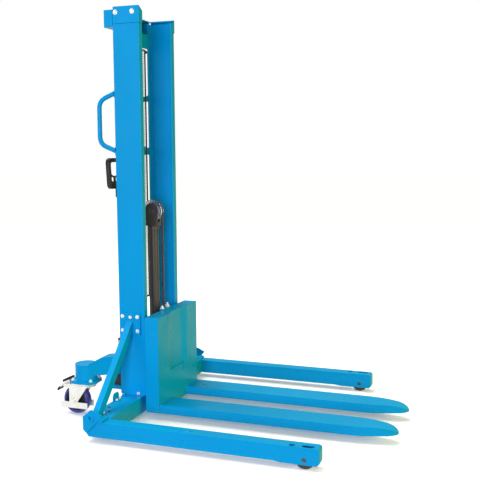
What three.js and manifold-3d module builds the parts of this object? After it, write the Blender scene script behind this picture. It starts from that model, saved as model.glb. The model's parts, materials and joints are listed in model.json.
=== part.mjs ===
// Walkie stacker: a hand-pumped straddle stacker with a fixed mast, a fork carriage lifted by a
// single-acting cylinder through a chain and sheave, two straddle legs and two braked casters.
// Units are millimetres. While modelling, +X points to the fork tips, +Y to the left and +Z up,
// x = 0 is the front face of the mast and z = 0 is the floor. The last lines shift the model so
// that its origin lies under the middle of its bounding box.
import * as THREE from "three";
import { mergeVertices } from "three/addons/utils/BufferGeometryUtils.js";
import Module from "manifold-3d";

// Driving dimensions.
const GAP = 0.3; // clearance kept between touching pieces
const MAST_HALF_WIDTH = 207.5;
const MAST_DEPTH = 144;
const MAST_WALL = 10;
const MAST_FLANGE = 38;
const UPRIGHT_TOP = 2035;
const CROSSBEAM = { rear: -121, front: -10, bottom: 24, top: 108 };
const LEG = { rear: -121, tip: 1019, outer: 625, width: 64, bottom: 26, top: 100, wall: 6 };
const LEG_WHEEL = { x: 952, radius: 44, width: 50, axleRadius: 10 };
const CARRIAGE = { back: 20, front: 93, halfWidth: 248, bottom: 36, top: 527, wall: 10, recess: 12 };
const FORK = { tip: 1286, inner: 101, outer: 242, bottom: 36, top: 80, wall: 8 };
const LIFT = { x: -42, boreRadius: 20, rodRadius: 17, barrelRadius: 27, barrelTop: 943 };
const SHEAVE = { z: 1047, pitchRadius: 52, flangeRadius: 56, width: 24, pinRadius: 9 };
const CHAIN = { height: 12, width: 14 };
const CASTER = { x: -312, y: 267, trail: 55, radius: 75, width: 48, axleRadius: 8 };
const CASTER_PIN = { x: -416, z: 149 };
const ROLLER = { x: -72, radius: 61.5, width: 24.5, boreRadius: 15.3 };
const ROLLER_HEIGHTS = { lower: 175, upper: 450 };
const HANDLE = { y: 190, radius: 12, reach: -239, top: 1652, bottom: 1356 };
const TILLER = { x: -225, z: 330, pinRadius: 8, tubeRadius: 14 };
const GRIP = { x: -265, neckX: -240, bottom: 1160, top: 1323, bar: 22 };
const PUMP = { rear: -290, front: -170, halfWidth: 45, top: 230, plungerX: -256 };
const REAR_END = -470; // back edge of the brake pedals

const wasm = await Module();
wasm.setup();

// ---------------------------------------------------------------- solids

// A closed three.js geometry as a solid.
function solidOf(geometry) {
  const bare = geometry.index ? geometry.toNonIndexed() : geometry.clone();
  bare.deleteAttribute("normal");
  bare.deleteAttribute("uv");
  const merged = mergeVertices(bare, 1e-3);
  return new wasm.Manifold(
    new wasm.Mesh({
      numProp: 3,
      vertProperties: merged.attributes.position.array,
      triVerts: new Uint32Array(merged.index.array),
    }),
  );
}

// A solid as a three.js geometry.
function geometryOf(solid) {
  const mesh = solid.getMesh();
  const geometry = new THREE.BufferGeometry();
  geometry.setAttribute("position", new THREE.BufferAttribute(mesh.vertProperties, 3));
  geometry.setIndex(new THREE.BufferAttribute(mesh.triVerts, 1));
  geometry.computeVertexNormals();
  return geometry;
}

function join(...geometries) {
  return geometryOf(geometries.map(solidOf).reduce((whole, piece) => whole.add(piece)));
}

function cut(body, ...tools) {
  return geometryOf(tools.map(solidOf).reduce((rest, tool) => rest.subtract(tool), solidOf(body)));
}

function common(a, b) {
  return geometryOf(solidOf(a).intersect(solidOf(b)));
}

function box(x0, x1, y0, y1, z0, z1) {
  const geometry = new THREE.BoxGeometry(x1 - x0, y1 - y0, z1 - z0);
  return geometry.translate((x0 + x1) / 2, (y0 + y1) / 2, (z0 + z1) / 2);
}

// A cylinder along the Y axis between y0 and y1.
function cylinderY(x, z, radius, y0, y1, sides = 24) {
  return new THREE.CylinderGeometry(radius, radius, y1 - y0, sides).translate(x, (y0 + y1) / 2, z);
}

// A cylinder along the Z axis between z0 and z1.
function cylinderZ(x, y, radius, z0, z1, sides = 24) {
  const geometry = new THREE.CylinderGeometry(radius, radius, z1 - z0, sides);
  return geometry.rotateX(Math.PI / 2).translate(x, y, (z0 + z1) / 2);
}

function outline(points) {
  return new THREE.Shape(points.map(([u, v]) => new THREE.Vector2(u, v)));
}

function extruded(shape, depth, curveSegments = 6) {
  return new THREE.ExtrudeGeometry(shape, { depth, bevelEnabled: false, curveSegments });
}

// A prism with an outline of [x, z] points, from y0 to y1.
function prismY(points, y0, y1) {
  return extruded(outline(points), y1 - y0).rotateX(Math.PI / 2).translate(0, y1, 0);
}

// A prism with an outline of [x, y] points, from z0 to z1.
function prismZ(points, z0, z1) {
  return extruded(outline(points), z1 - z0).translate(0, 0, z0);
}

// A prism with an outline of [y, z] points, from x0 to x1.
function prismX(points, x0, x1) {
  const turn = new THREE.Matrix4().makeBasis(
    new THREE.Vector3(0, 1, 0),
    new THREE.Vector3(0, 0, 1),
    new THREE.Vector3(1, 0, 0),
  );
  return extruded(outline(points), x1 - x0).applyMatrix4(turn).translate(x0, 0, 0);
}

// A solid of revolution about the Y axis, from [radius, y] points of a closed section.
function turnedY(points, x, y, z, sides = 32) {
  const section = points.map(([radius, along]) => new THREE.Vector2(radius, along));
  section.push(section[0].clone());
  return new THREE.LatheGeometry(section, sides).translate(x, y, z);
}

// A path of straight runs through the points, with each inner corner rounded.
function roundedPath(points, radius) {
  const corners = points.map((p) => new THREE.Vector3(...p));
  const path = new THREE.CurvePath();
  let start = corners[0];
  for (let i = 1; i < corners.length - 1; i += 1) {
    const corner = corners[i];
    const before = corner.clone().lerp(start, radius / corner.distanceTo(start));
    const after = corner.clone().lerp(corners[i + 1], radius / corner.distanceTo(corners[i + 1]));
    path.add(new THREE.LineCurve3(start, before));
    path.add(new THREE.QuadraticBezierCurve3(before, corner, after));
    start = after;
  }
  path.add(new THREE.LineCurve3(start, corners[corners.length - 1]));
  return path;
}

function tube(path, radius, steps, sides = 10) {
  const section = new THREE.Shape();
  section.absarc(0, 0, radius, 0, 2 * Math.PI);
  return new THREE.ExtrudeGeometry(section, {
    steps,
    extrudePath: path,
    curveSegments: sides / 2,
    bevelEnabled: false,
  });
}

// ---------------------------------------------------------------- materials

const standard = (color, roughness, metalness) =>
  new THREE.MeshStandardMaterial({ color, roughness, metalness });

const bluePaint = standard(0x12a3dc, 0.4, 0.1);
const blackPaint = standard(0x2b2a29, 0.5, 0.1);
const blackPlastic = standard(0x1b1c1c, 0.55, 0);
const zinc = standard(0xcfcbbd, 0.35, 0.9);
const steel = standard(0xb8babc, 0.25, 1);
const chainSteel = standard(0x3a3633, 0.5, 0.8);
const blueTyre = standard(0x2f3192, 0.45, 0);
const blackTyre = standard(0x232120, 0.6, 0);

// ---------------------------------------------------------------- mast

// A C-shaped upright on the right side, its opening facing the middle of the mast.
function upright() {
  const outer = -MAST_HALF_WIDTH;
  const web = outer + MAST_WALL;
  const tip = outer + MAST_FLANGE;
  const section = [
    [-MAST_DEPTH, outer],
    [0, outer],
    [0, tip],
    [-MAST_WALL, tip],
    [-MAST_WALL, web],
    [-MAST_DEPTH + MAST_WALL, web],
    [-MAST_DEPTH + MAST_WALL, tip],
    [-MAST_DEPTH, tip],
  ];
  return prismZ(section, CROSSBEAM.top + GAP, UPRIGHT_TOP);
}

// A folded sheet cap over the top of an upright, its roof sloping towards the middle and ending
// at `front`: with a lip over the upright's front face, or flush with it.
function mastCap(outerTop, innerTop, front) {
  const sheet = 6;
  const bottom = 1984;
  const outer = -MAST_HALF_WIDTH - GAP - 8;
  const inner = outer + 38;
  const section = (rise, y0, y1) => [
    [y0, bottom - rise],
    [y0, outerTop + rise],
    [y1, innerTop + rise],
    [y1, bottom - rise],
  ];
  const shell = prismX(section(0, outer, inner), -137, front);
  const hollow = prismX(section(-sheet, -MAST_HALF_WIDTH - GAP, inner + 1), -138, GAP);
  const openBottom = box(-138, GAP, -MAST_HALF_WIDTH - GAP, inner + 1, bottom - 1, bottom + 10);
  return cut(shell, hollow, openBottom);
}

// The channel beam across the back of the mast head, open towards the uprights.
function topBeam() {
  const wall = 6;
  const shell = box(-192, -MAST_DEPTH - GAP, -MAST_HALF_WIDTH, MAST_HALF_WIDTH, 1969, 2054);
  const inside = MAST_HALF_WIDTH - wall;
  return cut(shell, box(-192 + wall, -MAST_DEPTH, -inside, inside, 1969 + wall, 2054 - wall));
}

const flangeTip = MAST_HALF_WIDTH - MAST_FLANGE;
const topPlate = () => box(-MAST_DEPTH, -136, -flangeTip + GAP, flangeTip - GAP, 1903, 1978);
const strap = (z) => box(-150, -MAST_DEPTH - GAP, -200, 200, z - 12.5, z + 12.5);

// The safety screen behind the chain, as the plain sheet that its wire mesh fills.
function guardScreen() {
  const bottom = 560;
  const top = 1898;
  const half = 147;
  return box(-MAST_DEPTH + GAP, -MAST_DEPTH + 3 + GAP, -half, half, bottom, top);
}

// A bent tube handle on the back of the right upright, for pushing the stacker.
function pushHandle() {
  const start = -140;
  const weldFace = -150 - GAP;
  const path = roundedPath(
    [
      [start, -HANDLE.y, HANDLE.top],
      [HANDLE.reach, -HANDLE.y, HANDLE.top - 40],
      [HANDLE.reach, -HANDLE.y, HANDLE.bottom + 40],
      [start, -HANDLE.y, HANDLE.bottom],
    ],
    38,
  );
  const mastSide = box(weldFace, 0, -HANDLE.y - 30, -HANDLE.y + 30, 1200, 1800);
  return cut(tube(path, HANDLE.radius, 36), mastSide);
}

// ---------------------------------------------------------------- base

// The tube that joins the legs under the mast, open at both ends.
function crossbeam() {
  const { rear, front, bottom, top } = CROSSBEAM;
  const half = LEG.outer - LEG.width - GAP;
  const wall = 8;
  const shell = box(rear, front, -half, half, bottom, top);
  const hollow = box(rear + wall, front - wall, -half - 1, half + 1, bottom + wall, top - wall);
  return cut(shell, hollow);
}

// The right straddle leg: a box section open underneath, deeper around its wheel, with a
// rounded tip and a long slot in its top over the roller.
function leg() {
  const outer = -LEG.outer;
  const inner = outer + LEG.width;
  const { wall } = LEG;
  const profile = [
    [LEG.rear, 62],
    [LEG.rear + 26, LEG.bottom],
    [813, LEG.bottom],
    [844, LEG.bottom - 4],
    [1007, LEG.bottom - 4],
    [LEG.tip, LEG.bottom + 8],
    [LEG.tip, LEG.top - 13],
    [LEG.tip - 4, LEG.top - 4],
    [LEG.tip - 13, LEG.top],
    [LEG.rear, LEG.top],
  ];
  const plan = [
    [LEG.rear, outer],
    [LEG.tip - 7, outer],
    [LEG.tip - 2, outer + 2],
    [LEG.tip, outer + 7],
    [LEG.tip, inner - 7],
    [LEG.tip - 2, inner - 2],
    [LEG.tip - 7, inner],
    [LEG.rear, inner],
  ];
  const body = common(prismY(profile, outer, inner), prismZ(plan, 0, LEG.top + 1));
  const hollow = box(LEG.rear + wall, LEG.tip - wall, outer + wall, inner - wall, 0, LEG.top - wall);
  const slotEnd = (x) => cylinderZ(x, outer + 22, 15, 50, LEG.top + 1);
  const slotMiddle = box(951, 979, outer + 7, outer + 37, 50, LEG.top + 1);
  const wheelSlot = join(slotEnd(951), slotEnd(979), slotMiddle);
  const drainHole = cylinderZ(893, outer + 21, 14, 50, LEG.top + 1);
  const axleHole = cylinderY(LEG_WHEEL.x, LEG_WHEEL.radius, LEG_WHEEL.axleRadius + GAP, outer - 1, inner + 1);
  return cut(body, hollow, wheelSlot, drainHole, axleHole);
}

// The roller of the right leg, crowned at its edges.
function legRoller() {
  const half = LEG_WHEEL.width / 2;
  const { radius } = LEG_WHEEL;
  const bore = LEG_WHEEL.axleRadius + GAP;
  const section = [
    [bore, -half],
    [radius - 4, -half],
    [radius, -half + 5],
    [radius, half - 5],
    [radius - 4, half],
    [bore, half],
  ];
  return turnedY(section, LEG_WHEEL.x, -LEG.outer + LEG.width / 2, radius);
}

function legAxle() {
  const outer = -LEG.outer;
  return cylinderY(LEG_WHEEL.x, LEG_WHEEL.radius, LEG_WHEEL.axleRadius, outer - 2, outer + LEG.width);
}

// The right strut: a folded channel at 45 degrees, its foot on the leg and over the leg's side.
function strut() {
  const rise = 714; // height of the strut's upper face above y
  const rear = -95;
  const front = -63;
  const depth = 46;
  const sheet = 5;
  const start = -MAST_HALF_WIDTH - 8 - 2 * GAP;
  const end = -LEG.outer + 4;
  const plank = (x0, x1, from, to) =>
    prismX(
      [
        [start, start + rise - from],
        [start, start + rise - to],
        [end, end + rise - to],
        [end, end + rise - from],
      ],
      x0,
      x1,
    );
  const slant = Math.SQRT2;
  const channel = join(
    plank(rear, front, 0, sheet * slant),
    plank(rear, rear + sheet, 0, depth * slant),
    plank(front - sheet, front, 0, depth * slant),
  );
  const standing = cut(channel, box(-200, 50, end - 50, start + 50, -50, CROSSBEAM.top + GAP));
  const legInner = -LEG.outer + LEG.width;
  const footPlate = box(-112, -20, -LEG.outer - 4, legInner - 1, LEG.top + GAP, LEG.top + 11);
  const sidePlate = prismY(
    [
      [-119, 60],
      [-105, 46],
      [-92, 52],
      [-17, 134],
      [-57, 154],
      [-77, 158],
      [-119, 122],
    ],
    -LEG.outer - 8,
    -LEG.outer - GAP,
  );
  const boss = cylinderY(-76, 120, 19, -LEG.outer - 14, -LEG.outer - 6);
  const bossHole = cylinderY(-76, 120, 9, -LEG.outer - 15, -LEG.outer - 5);
  return cut(join(standing, footPlate, sidePlate, boss), bossHole);
}

// The plate that bolts the right strut to the outside of the upright.
const strutPlate = () =>
  box(-133, -21, -MAST_HALF_WIDTH - 8 - GAP, -MAST_HALF_WIDTH - GAP, 425, 539);

// The right caster's arm: an oblique box from the mast to a round neck with a flange under it.
function casterArm() {
  const neck = 56;
  const back = -MAST_DEPTH - GAP;
  const plan = [
    [back, -MAST_HALF_WIDTH],
    [back, -130],
    [CASTER.x + 10, -225],
    [CASTER.x, -CASTER.y],
    [CASTER.x + 35, -CASTER.y - 36],
  ];
  const side = [
    [back, 212],
    [back, 305],
    [-224, 305],
    [-286, 270],
    [CASTER.x, 268],
    [CASTER.x, 212],
  ];
  const arm = common(prismZ(plan, 200, 320), prismY(side, -330, -100));
  const flange = common(
    box(CASTER.x - 70, CASTER.x + 70, -CASTER.y - 62, -CASTER.y + 62, 172, 187),
    cylinderZ(CASTER.x, -CASTER.y, 79, 170, 190, 40),
  );
  const round = cylinderZ(CASTER.x, -CASTER.y, neck, 180, 270, 32);
  return join(arm, flange, round);
}

// ---------------------------------------------------------------- casters

const wheelX = CASTER.x - CASTER.trail;

// The right caster's swivel housing: a turned head and two cheeks that carry the axle.
function casterFork() {
  const top = 171.7;
  const cheek = [
    [-288, 157],
    [-350, 66],
    [-292, 66],
    [-292, 34],
    [-447, 34],
    [-447, 66],
    [-396, 66],
    [-396, 138],
    [-428, 138],
    [-428, 159],
    [-382, 159],
  ];
  const y = -CASTER.y;
  const head = join(
    cylinderZ(CASTER.x, y, 50, 150, top, 32),
    box(-382, CASTER.x, y - 35, y + 35, 157, 163),
    prismY(cheek, y - 35, y - 31),
    prismY(cheek, y + 31, y + 35),
  );
  const wheelRoom = cylinderY(wheelX, CASTER.radius, CASTER.radius + 4, y - 30.5, y + 30.5, 40);
  const axleHole = cylinderY(wheelX, CASTER.radius, CASTER.axleRadius + GAP, y - 40, y + 40);
  const pinHole = cylinderY(CASTER_PIN.x, CASTER_PIN.z, 5 + GAP, y - 40, y + 40, 16);
  return cut(head, wheelRoom, axleHole, pinHole);
}

const casterAxle = () =>
  cylinderY(wheelX, CASTER.radius, CASTER.axleRadius, -CASTER.y - 42, -CASTER.y + 42);

function casterTyre() {
  const half = CASTER.width / 2;
  const { radius } = CASTER;
  const section = [
    [58, -half + 2],
    [radius - 9, -half],
    [radius - 1.5, -half + 10],
    [radius, 0],
    [radius - 1.5, half - 10],
    [radius - 9, half],
    [58, half - 2],
  ];
  return turnedY(section, wheelX, -CASTER.y, radius, 36);
}

function casterHub() {
  const half = CASTER.width / 2;
  const bore = CASTER.axleRadius + GAP;
  const section = [
    [bore, -half - 3],
    [20, -half - 3],
    [24, -8],
    [46, -8],
    [50, -half + 3],
    [57.7, -half + 3],
    [57.7, half - 3],
    [50, half - 3],
    [46, 8],
    [24, 8],
    [20, half + 3],
    [bore, half + 3],
  ];
  return turnedY(section, wheelX, -CASTER.y, CASTER.radius, 36);
}

// The bent foot pedal of the right caster's brake, with its pin.
function brakePedal() {
  const y = -CASTER.y;
  const sheet = [
    [-398, 182],
    [-437, 165],
    [-452, 150],
    [REAR_END, 128],
    [REAR_END, 120],
    [REAR_END + 5, 119],
    [-446, 143],
    [-432, 157],
    [-398, 174],
  ];
  const arm = prismY([[-420, 146], [-404, 146], [-402, 176], [-430, 162]], y - 12, y + 12);
  const plate = prismY(sheet, y - 27, y + 27);
  const hub = cylinderY(CASTER_PIN.x, CASTER_PIN.z, 9, y - 27, y + 27, 20);
  const pin = cylinderY(CASTER_PIN.x, CASTER_PIN.z, 5, y - 38, y + 38, 16);
  return join(arm, plate, hub, pin);
}

// ---------------------------------------------------------------- lifting gear

// The casting that seats the cylinder on the crossbeam and anchors the rear end of the chain.
function cylinderBase() {
  const bottom = CROSSBEAM.top + GAP;
  const chainX = LIFT.x - SHEAVE.pitchRadius;
  return join(
    box(LIFT.x - 40, LIFT.x + 32, -45, 45, bottom, 150),
    box(chainX - 9, LIFT.x, -16, 16, bottom, 150),
  );
}

function liftBarrel() {
  const bottom = 150 + GAP;
  return cut(
    cylinderZ(LIFT.x, 0, LIFT.barrelRadius, bottom, LIFT.barrelTop, 32),
    cylinderZ(LIFT.x, 0, LIFT.boreRadius, bottom + 14, LIFT.barrelTop + 1, 32),
  );
}

function cylinderGland() {
  const bottom = LIFT.barrelTop + GAP;
  return cut(
    cylinderZ(LIFT.x, 0, LIFT.barrelRadius + 4, bottom, bottom + 24, 32),
    cylinderZ(LIFT.x, 0, LIFT.rodRadius + GAP, bottom - 1, bottom + 25, 32),
  );
}

const ROD_TOP = 968;

// The chromed piston rod, with its piston at the lower end.
const pistonRod = () =>
  join(
    cylinderZ(LIFT.x, 0, LIFT.rodRadius, 166, ROD_TOP, 32),
    cylinderZ(LIFT.x, 0, LIFT.boreRadius - GAP, 166, 174, 32),
  );

// The yoke on top of the rod, with a round cheek on each side of the sheave.
function crosshead() {
  const bottom = ROD_TOP + GAP;
  const inner = SHEAVE.width / 2 + 1.5;
  const neck = [
    [LIFT.x - 30, bottom + 4],
    [LIFT.x + 30, bottom + 4],
    [LIFT.x + 40, SHEAVE.z],
    [LIFT.x - 40, SHEAVE.z],
  ];
  const cheek = (y0, y1) => join(prismY(neck, y0, y1), cylinderY(LIFT.x, SHEAVE.z, 40, y0, y1, 32));
  const body = join(
    box(LIFT.x - 34, LIFT.x + 34, -inner - 14, inner + 14, bottom, bottom + 18),
    cheek(-inner - 9, -inner),
    cheek(inner, inner + 9),
  );
  return cut(body, cylinderY(LIFT.x, SHEAVE.z, SHEAVE.pinRadius + GAP, -40, 40));
}

function sheave() {
  const half = SHEAVE.width / 2;
  const root = SHEAVE.pitchRadius - CHAIN.height / 2 - GAP;
  const groove = CHAIN.width / 2 + 0.5;
  const bore = SHEAVE.pinRadius + GAP;
  const section = [
    [bore, -half],
    [SHEAVE.flangeRadius, -half],
    [SHEAVE.flangeRadius, -groove],
    [root, -groove],
    [root, groove],
    [SHEAVE.flangeRadius, groove],
    [SHEAVE.flangeRadius, half],
    [bore, half],
  ];
  return turnedY(section, LIFT.x, 0, SHEAVE.z, 40);
}

const sheavePin = () => cylinderY(LIFT.x, SHEAVE.z, SHEAVE.pinRadius, -27, 27);

// One straight run of the chain, between two heights.
function chainRun(x, bottom, top) {
  const half = CHAIN.height / 2;
  return box(x - half, x + half, -CHAIN.width / 2, CHAIN.width / 2, bottom, top);
}

// The half turn of the chain over the sheave.
function chainWrap() {
  const half = CHAIN.height / 2;
  const shape = new THREE.Shape();
  shape.absarc(LIFT.x, SHEAVE.z, SHEAVE.pitchRadius + half, 0, Math.PI, false);
  shape.absarc(LIFT.x, SHEAVE.z, SHEAVE.pitchRadius - half, Math.PI, 0, true);
  const ring = extruded(shape, CHAIN.width, 24);
  return ring.rotateX(Math.PI / 2).translate(0, CHAIN.width / 2, 0);
}

// ---------------------------------------------------------------- carriage

const CHAIN_LUG = { bottom: 140, top: 171.7 };

// The welded carriage: a box open at the back, its front recessed between the two fork columns.
function carriageFrame() {
  const { back, front, halfWidth, bottom, top, wall, recess } = CARRIAGE;
  const shell = box(back, front, -halfWidth, halfWidth, bottom, top);
  const hollow = box(
    back - 1,
    front - wall - recess,
    -halfWidth + wall,
    halfWidth - wall,
    bottom + wall,
    top - wall,
  );
  const frontRecess = prismZ(
    [
      [front + 1, -116],
      [front + 1, 116],
      [front - recess, 64],
      [front - recess, -64],
    ],
    225,
    top + 1,
  );
  const lug = box(-4, front - wall, -18, 18, CHAIN_LUG.bottom, CHAIN_LUG.top);
  return join(cut(shell, hollow, frontRecess), lug);
}

// The right roller arm: a plate from the carriage back between the uprights, with two stub axles.
function carriageArm() {
  const inner = -153;
  const outer = -165;
  const root = CARRIAGE.front - CARRIAGE.wall - CARRIAGE.recess - GAP;
  const profile = [
    [root, 60],
    [root, 512],
    [-104, 512],
    [-104, 118],
    [0, 118],
    [0, 60],
  ];
  const stubs = Object.values(ROLLER_HEIGHTS).map((z) =>
    cylinderY(ROLLER.x, z, ROLLER.boreRadius - GAP, -195, outer + 2),
  );
  return join(prismY(profile, outer, inner), ...stubs);
}

function mastRoller(z) {
  const y0 = -196.5;
  const y1 = y0 + ROLLER.width;
  return cut(
    cylinderY(ROLLER.x, z, ROLLER.radius, y0, y1, 40),
    cylinderY(ROLLER.x, z, ROLLER.boreRadius, y0 - 1, y1 + 1),
  );
}

// The plan of the right fork, `inset` inside its outline, tapered towards a round nose.
function forkPlan(inset) {
  const x0 = CARRIAGE.front + GAP;
  const middle = -(FORK.outer + FORK.inner) / 2;
  const half = (FORK.outer - FORK.inner) / 2 - inset;
  const tip = FORK.tip - inset;
  const shape = new THREE.Shape();
  shape.moveTo(x0, middle - half);
  shape.lineTo(1040, middle - half);
  shape.quadraticCurveTo(1100, middle - half, 1150, middle - half + 10.5);
  shape.lineTo(1236, middle - half + 26.5);
  shape.bezierCurveTo(tip - 30, middle - half + 30.5, tip - 2, middle - 20, tip, middle);
  shape.bezierCurveTo(tip - 2, middle + 20, tip - 30, middle + half - 30.5, 1236, middle + half - 26.5);
  shape.lineTo(1150, middle + half - 10.5);
  shape.quadraticCurveTo(1100, middle + half, 1040, middle + half);
  shape.lineTo(x0, middle + half);
  return shape;
}

// The right fork: a folded channel, open underneath, thinned and rounded down towards its nose.
function fork() {
  const body = extruded(forkPlan(0), FORK.top - FORK.bottom, 8).translate(0, 0, FORK.bottom);
  const hollow = extruded(forkPlan(FORK.wall), FORK.top - FORK.wall, 8);
  const noseUnder = prismY([[1080, 0], [1300, 0], [1300, 44], [1130, FORK.bottom]], -260, -90);
  const noseOver = prismY(
    [
      [1170, FORK.top],
      [1225, 76],
      [1256, 69],
      [1276, 60],
      [1288, 50],
      [1300, 46],
      [1300, 90],
      [1170, 90],
    ],
    -260,
    -90,
  );
  const noseFill = common(body, box(1150, 1300, -260, -90, 42, FORK.top));
  return cut(join(cut(body, hollow), noseFill), noseUnder, noseOver);
}

// ---------------------------------------------------------------- pump and tiller

const pumpBracket = () => box(-300, CROSSBEAM.rear - GAP, -80, 80, 84, 96);

// The pump casting with its oil tank, the plunger's boss and two ears for the tiller.
function pumpBody() {
  const bottom = 96 + GAP;
  const { rear, front, halfWidth, top, plungerX } = PUMP;
  const ear = [
    [TILLER.x - 22, top - 4],
    [TILLER.x + 22, top - 4],
    [TILLER.x + 15, TILLER.z + 8],
    [TILLER.x + 8, TILLER.z + 15],
    [TILLER.x - 8, TILLER.z + 15],
    [TILLER.x - 15, TILLER.z + 8],
  ];
  const body = join(
    box(rear, front, -halfWidth, halfWidth, bottom, top),
    cylinderZ(PUMP.front - 26, 0, 24, top - 2, 290, 28),
    cylinderZ(plungerX, 0, 20, top - 2, 275, 28),
    prismY(ear, -36, -24),
    prismY(ear, 24, 36),
  );
  const pinHole = cylinderY(TILLER.x, TILLER.z, TILLER.pinRadius + GAP, -50, 50);
  return cut(body, cylinderZ(plungerX, 0, 10 + GAP, 195, 280), pinHole);
}

const plungerHead = 333.6;
const pumpPlunger = () =>
  join(
    cylinderZ(PUMP.plungerX, 0, 10, 235, plungerHead - 2),
    cylinderZ(PUMP.plungerX, 0, 12, plungerHead - 7, plungerHead),
  );

// The steel pipe from the pump to the cylinder base.
function oilPipe() {
  const path = roundedPath(
    [
      [PUMP.front + GAP, 30, 170],
      [-146, 30, 170],
      [-118, 30, 130],
      [LIFT.x - 40 - GAP, 30, 130],
    ],
    11,
  );
  return tube(path, 6, 24);
}

// The tiller's tube with its socket, pin and the nose that presses the plunger.
function tillerShaft() {
  const foot = new THREE.Vector3(TILLER.x, 0, TILLER.z + 4);
  const head = new THREE.Vector3(GRIP.neckX, 0, GRIP.bottom - 8);
  const noseX = TILLER.x - 34 * Math.cos(Math.PI / 9);
  const noseZ = TILLER.z + 34 * Math.sin(Math.PI / 9);
  return join(
    tube(new THREE.LineCurve3(foot, head), TILLER.tubeRadius, 1, 16),
    cylinderY(TILLER.x, TILLER.z, 17, -22, 22, 28),
    cylinderZ(TILLER.x, 0, 18, TILLER.z, TILLER.z + 60),
    cylinderY(TILLER.x, TILLER.z, TILLER.pinRadius, -40, 40),
    prismY([[TILLER.x, 336], [noseX, noseZ - 5], [noseX, noseZ + 6], [TILLER.x, 352]], -10, 10),
    cylinderY(noseX, noseZ, 7, -10, 10),
  );
}

// A closed outline of the grip, `inset` inside its outer edge, in the plane across the stacker.
function gripOutline(inset) {
  const bottom = GRIP.bottom + inset;
  const top = GRIP.top - inset;
  const low = 68 - inset;
  const high = 79 - inset;
  const round = 26 - inset / 2;
  const shape = new THREE.Shape();
  shape.moveTo(-low + round, bottom);
  shape.lineTo(low - round, bottom);
  shape.quadraticCurveTo(low, bottom, low + 2, bottom + round);
  shape.lineTo(high, top - round);
  shape.quadraticCurveTo(high, top, high - round, top);
  shape.lineTo(-high + round, top);
  shape.quadraticCurveTo(-high, top, -high, top - round);
  shape.lineTo(-low - 2, bottom + round);
  shape.quadraticCurveTo(-low, bottom, -low + round, bottom);
  return shape;
}

// The moulded loop at the top of the tiller, with two ears for the release lever.
function tillerGrip() {
  const half = GRIP.bar / 2;
  const turn = new THREE.Matrix4().makeBasis(
    new THREE.Vector3(0, 1, 0),
    new THREE.Vector3(0, 0, 1),
    new THREE.Vector3(1, 0, 0),
  );
  const loop = new THREE.ExtrudeGeometry(gripOutline(5), {
    depth: GRIP.bar - 12,
    bevelEnabled: true,
    bevelSize: 5,
    bevelThickness: 6,
    bevelSegments: 2,
    curveSegments: 5,
  });
  loop.applyMatrix4(turn).translate(GRIP.x - half + 6, 0, 0);
  const window = extruded(gripOutline(GRIP.bar), GRIP.bar + 4, 5);
  window.applyMatrix4(turn).translate(GRIP.x - half - 2, 0, 0);
  const socket = join(
    cylinderZ(GRIP.neckX, 0, 19, GRIP.bottom - 44, GRIP.bottom + 12),
    box(GRIP.x, GRIP.neckX, -13, 13, GRIP.bottom, GRIP.bottom + 14),
  );
  const tubeHole = cylinderZ(GRIP.neckX, 0, TILLER.tubeRadius + 2, GRIP.bottom - 50, GRIP.bottom - 7);
  const windowFloor = GRIP.bottom + GRIP.bar;
  const ear = (y0, y1) => box(GRIP.x - 9, GRIP.x + 9, y0, y1, windowFloor - 3, windowFloor + 18);
  const ears = [ear(-14, -9), ear(9, 14)];
  const pinHole = cylinderY(GRIP.x, windowFloor + 10, 4 + GAP, -20, 20, 16);
  return cut(join(cut(loop, window), socket, ...ears), tubeHole, pinHole);
}

// The bowed release lever inside the loop.
function releaseLever() {
  const pivot = GRIP.bottom + GRIP.bar + 10;
  const path = new THREE.QuadraticBezierCurve3(
    new THREE.Vector3(GRIP.x, -39, 1234),
    new THREE.Vector3(GRIP.x, 0, 1212),
    new THREE.Vector3(GRIP.x, 39, 1234),
  );
  return join(
    tube(path, 5.5, 10, 10),
    box(GRIP.x - 4, GRIP.x + 4, -7, 7, pivot, 1224),
    cylinderY(GRIP.x, pivot, 7, -8.5, 8.5, 20),
    cylinderY(GRIP.x, pivot, 4, -15, 15, 16),
  );
}

// ---------------------------------------------------------------- assembly

const model = new THREE.Group();

function add(name, geometry, material) {
  const mesh = new THREE.Mesh(geometry, material);
  mesh.name = name;
  model.add(mesh);
  return mesh;
}

// Adds a piece of the right side and its mirror image on the left.
function addPair(name, geometry, material) {
  add(name + "_right", geometry, material);
  add(name + "_left", geometry, material).scale.y = -1;
}

addPair("mast_upright", upright(), bluePaint);
add("mast_cap_right", mastCap(2066, 2044, GAP + 6), bluePaint);
add("mast_cap_left", mastCap(2054, 2046, GAP), bluePaint).scale.y = -1;
add("mast_top_beam", topBeam(), bluePaint);
add("mast_top_plate", topPlate(), bluePaint);
add("mast_strap_upper", strap(1637), bluePaint);
add("mast_strap_lower", strap(1351), bluePaint);
add("guard_screen", guardScreen(), blackPaint);
addPair("push_handle", pushHandle(), bluePaint);

add("base_crossbeam", crossbeam(), bluePaint);
addPair("straddle_leg", leg(), bluePaint);
addPair("leg_roller", legRoller(), blackTyre);
addPair("leg_axle", legAxle(), chainSteel);
addPair("strut", strut(), bluePaint);
addPair("strut_plate", strutPlate(), bluePaint);

addPair("caster_arm", casterArm(), bluePaint);
addPair("caster_fork", casterFork(), zinc);
addPair("caster_axle", casterAxle(), steel);
addPair("caster_tyre", casterTyre(), blueTyre);
addPair("caster_hub", casterHub(), blackPlastic);
addPair("brake_pedal", brakePedal(), zinc);

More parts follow.
